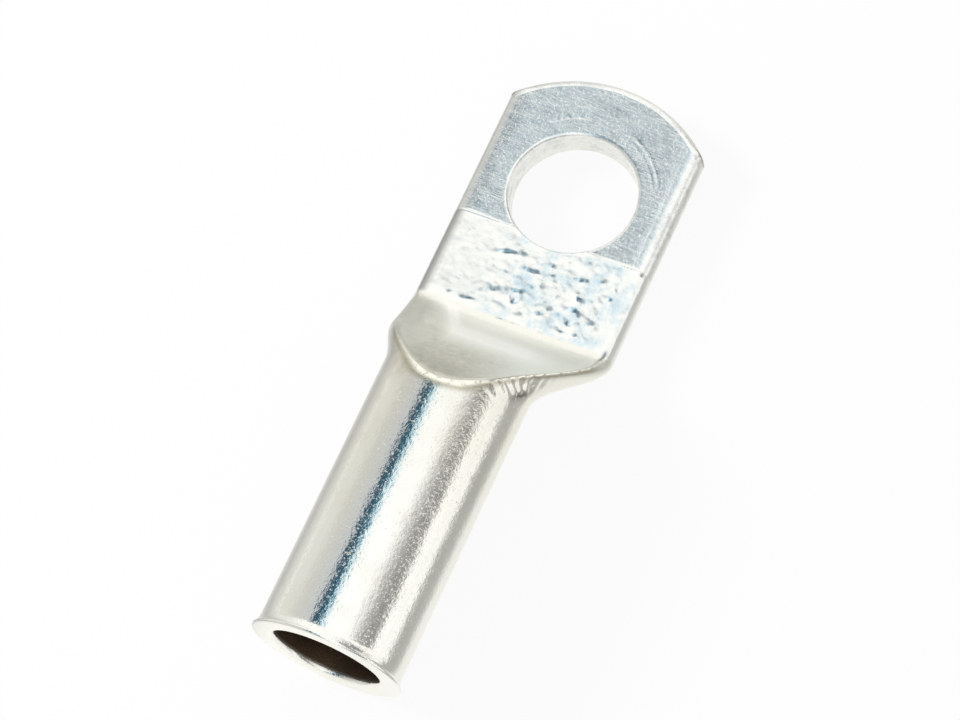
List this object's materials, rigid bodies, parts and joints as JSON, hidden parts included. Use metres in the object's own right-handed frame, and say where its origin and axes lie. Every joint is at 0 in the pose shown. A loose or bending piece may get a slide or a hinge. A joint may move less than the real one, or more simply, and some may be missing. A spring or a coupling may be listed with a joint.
{
  "type": "cable lug",
  "caption": "Tin-plated tube cable lug: a round crimp barrel pressed flat into a palm with a stud hole and an arc-shaped tip.",
  "frame": {"origin": "on the stud hole's axis, at the contact face under the palm", "axes": "+X runs along the lug from the barrel to the palm's tip, +Z is the palm's upward normal, away from the contact face"},
  "size_m": [0.0433, 0.0138, 0.01],
  "materials": {
    "tinned_copper": "bright tin plate, lightly mottled"
  },
  "bodies": {
    "root": {"cable_lug": "tinned_copper"}
  },
  "joints": []
}
